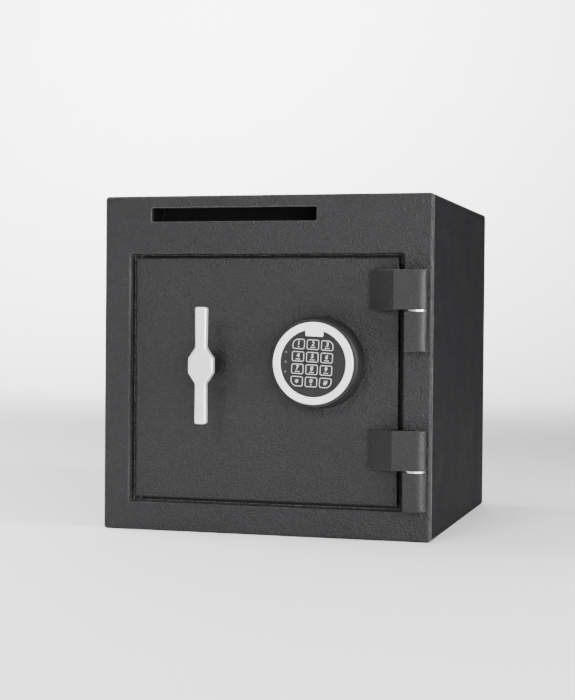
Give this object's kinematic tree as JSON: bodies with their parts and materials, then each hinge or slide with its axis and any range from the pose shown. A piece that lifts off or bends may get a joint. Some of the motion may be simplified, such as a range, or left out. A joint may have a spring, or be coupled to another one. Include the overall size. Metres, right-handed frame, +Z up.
{
  "type": "depository safe",
  "caption": "Cube steel cash safe with a front deposit slot, swinging door on external strap hinges, turning bar handle and round push-button lock.",
  "frame": {"origin": "centre of the floor plate's underside, where the safe stands", "axes": "+Z up, -Y out of the front face, +X to the right as one faces the safe"},
  "size_m": [0.3556, 0.3956, 0.3556],
  "materials": {
    "body_paint": "fine textured charcoal powder coat, satin",
    "door_paint": "fine textured charcoal powder coat, satin",
    "hinge_paint": "thin charcoal powder coat over steel, satin",
    "chute_paint": "matte black lacquer",
    "inner_paint": "thin charcoal powder coat, satin",
    "satin_silver": "satin nickel plate on a zinc casting",
    "ring_silver": "fine satin, silver",
    "bare_steel": "turned and zinc plated",
    "plated_steel": "zinc plated sheet and screws",
    "bronze": "sintered bronze",
    "lock_zinc": "die-cast zinc, as cast",
    "housing_plastic": "moulded black ABS, fine grain",
    "panel_plastic": "smooth dark grey polycarbonate",
    "key_plastic": "black keys with silver outline and figure",
    "led_lens": "clear lens, unlit",
    "circuit_board": "green solder mask",
    "lead_jacket": "black PVC jacket",
    "battery_can": "plain wrapped 9 V cell"
  },
  "bodies": {
    "safe_body": {"front_frame": "body_paint", "left_wall": "body_paint", "right_wall": "body_paint", "top_plate": "body_paint", "floor_plate": "body_paint", "back_wall": "body_paint", "latch_jamb": "inner_paint", "top_jamb": "inner_paint", "bottom_jamb": "inner_paint", "deposit_chute": "chute_paint", "anti_fishing_baffle": "chute_paint", "hinge_knuckle_upper": "hinge_paint", "hinge_knuckle_lower": "hinge_paint", "hinge_pins": "bare_steel", "hinge_washers": "bare_steel"},
    "door": {"door_plate": "door_paint", "hinge_strap_upper": "hinge_paint", "hinge_strap_lower": "hinge_paint", "dead_bar": "inner_paint", "bolt_guide": "inner_paint", "carriage_studs": "plated_steel", "boltwork_cover": "inner_paint", "cover_posts": "plated_steel", "cover_screws": "plated_steel", "spindle_bush": "bronze", "handle_collar": "housing_plastic", "lock_case": "lock_zinc", "lock_lid": "lock_zinc", "lock_screws": "plated_steel", "lock_solenoid": "plated_steel", "keypad_lead": "lead_jacket", "keypad_base": "housing_plastic", "keypad_housing": "housing_plastic", "keypad_ring": "ring_silver", "keypad_panel": "panel_plastic", "keypad_board": "circuit_board", "status_leds": "led_lens", "keypad_screws": "plated_steel"},
    "handle": {"handle_grip": "satin_silver", "handle_spindle": "bare_steel", "crank_disc": "bare_steel", "crank_screw": "plated_steel"},
    "bolt_carriage": {"bolt_carriage": "plated_steel", "locking_bolts": "bare_steel", "bolt_screws": "plated_steel"},
    "lock_bolt": {"lock_bolt": "lock_zinc"},
    "battery_drawer": {"battery_drawer": "housing_plastic", "battery": "battery_can"},
    "key_1": {"key_1": "key_plastic"},
    "key_2": {"key_2": "key_plastic"},
    "key_3": {"key_3": "key_plastic"},
    "key_4": {"key_4": "key_plastic"},
    "key_5": {"key_5": "key_plastic"},
    "key_6": {"key_6": "key_plastic"},
    "key_7": {"key_7": "key_plastic"},
    "key_8": {"key_8": "key_plastic"},
    "key_9": {"key_9": "key_plastic"},
    "key_star": {"key_star": "key_plastic"},
    "key_0": {"key_0": "key_plastic"},
    "key_hash": {"key_hash": "key_plastic"}
  },
  "joints": [
    {"name": "door_swing", "type": "hinge", "parent": "safe_body", "child": "door", "pos_m": [0.166, -0.1862, 0.1556], "axis": [0, 0, 1], "range_deg": [0, 170]},
    {"name": "handle_turn", "type": "hinge", "parent": "door", "child": "handle", "pos_m": [-0.0562, -0.2178, 0.1776], "axis": [0, -1, 0], "range_deg": [0, 90]},
    {"name": "bolt_throw", "type": "slide", "parent": "door", "child": "bolt_carriage", "axis": [-1, 0, 0], "range_m": [0, 0.0184]},
    {"name": "lock_bolt_drop", "type": "slide", "parent": "door", "child": "lock_bolt", "axis": [0, 0, -1], "range_m": [0, 0.0092]},
    {"name": "battery_drawer_slide", "type": "slide", "parent": "door", "child": "battery_drawer", "axis": [-0.048, 0, -0.9988], "range_m": [0, 0.05]},
    {"name": "key_1_press", "type": "slide", "parent": "door", "child": "key_1", "axis": [0, 1, 0], "range_m": [0, 0.0012], "stiffness_N_per_m": 600},
    {"name": "key_2_press", "type": "slide", "parent": "door", "child": "key_2", "axis": [0, 1, 0], "range_m": [0, 0.0012], "stiffness_N_per_m": 600},
    {"name": "key_3_press", "type": "slide", "parent": "door", "child": "key_3", "axis": [0, 1, 0], "range_m": [0, 0.0012], "stiffness_N_per_m": 600},
    {"name": "key_4_press", "type": "slide", "parent": "door", "child": "key_4", "axis": [0, 1, 0], "range_m": [0, 0.0012], "stiffness_N_per_m": 600},
    {"name": "key_5_press", "type": "slide", "parent": "door", "child": "key_5", "axis": [0, 1, 0], "range_m": [0, 0.0012], "stiffness_N_per_m": 600},
    {"name": "key_6_press", "type": "slide", "parent": "door", "child": "key_6", "axis": [0, 1, 0], "range_m": [0, 0.0012], "stiffness_N_per_m": 600},
    {"name": "key_7_press", "type": "slide", "parent": "door", "child": "key_7", "axis": [0, 1, 0], "range_m": [0, 0.0012], "stiffness_N_per_m": 600},
    {"name": "key_8_press", "type": "slide", "parent": "door", "child": "key_8", "axis": [0, 1, 0], "range_m": [0, 0.0012], "stiffness_N_per_m": 600},
    {"name": "key_9_press", "type": "slide", "parent": "door", "child": "key_9", "axis": [0, 1, 0], "range_m": [0, 0.0012], "stiffness_N_per_m": 600},
    {"name": "key_star_press", "type": "slide", "parent": "door", "child": "key_star", "axis": [0, 1, 0], "range_m": [0, 0.0012], "stiffness_N_per_m": 600},
    {"name": "key_0_press", "type": "slide", "parent": "door", "child": "key_0", "axis": [0, 1, 0], "range_m": [0, 0.0012], "stiffness_N_per_m": 600},
    {"name": "key_hash_press", "type": "slide", "parent": "door", "child": "key_hash", "axis": [0, 1, 0], "range_m": [0, 0.0012], "stiffness_N_per_m": 600}
  ],
  "couplings": [
    {"joint": "bolt_throw", "follows": "handle_turn", "m_per_rad": 0.0117},
    {"joint": "lock_bolt_drop", "follows": "handle_turn", "m_per_rad": 0.00585}
  ]
}
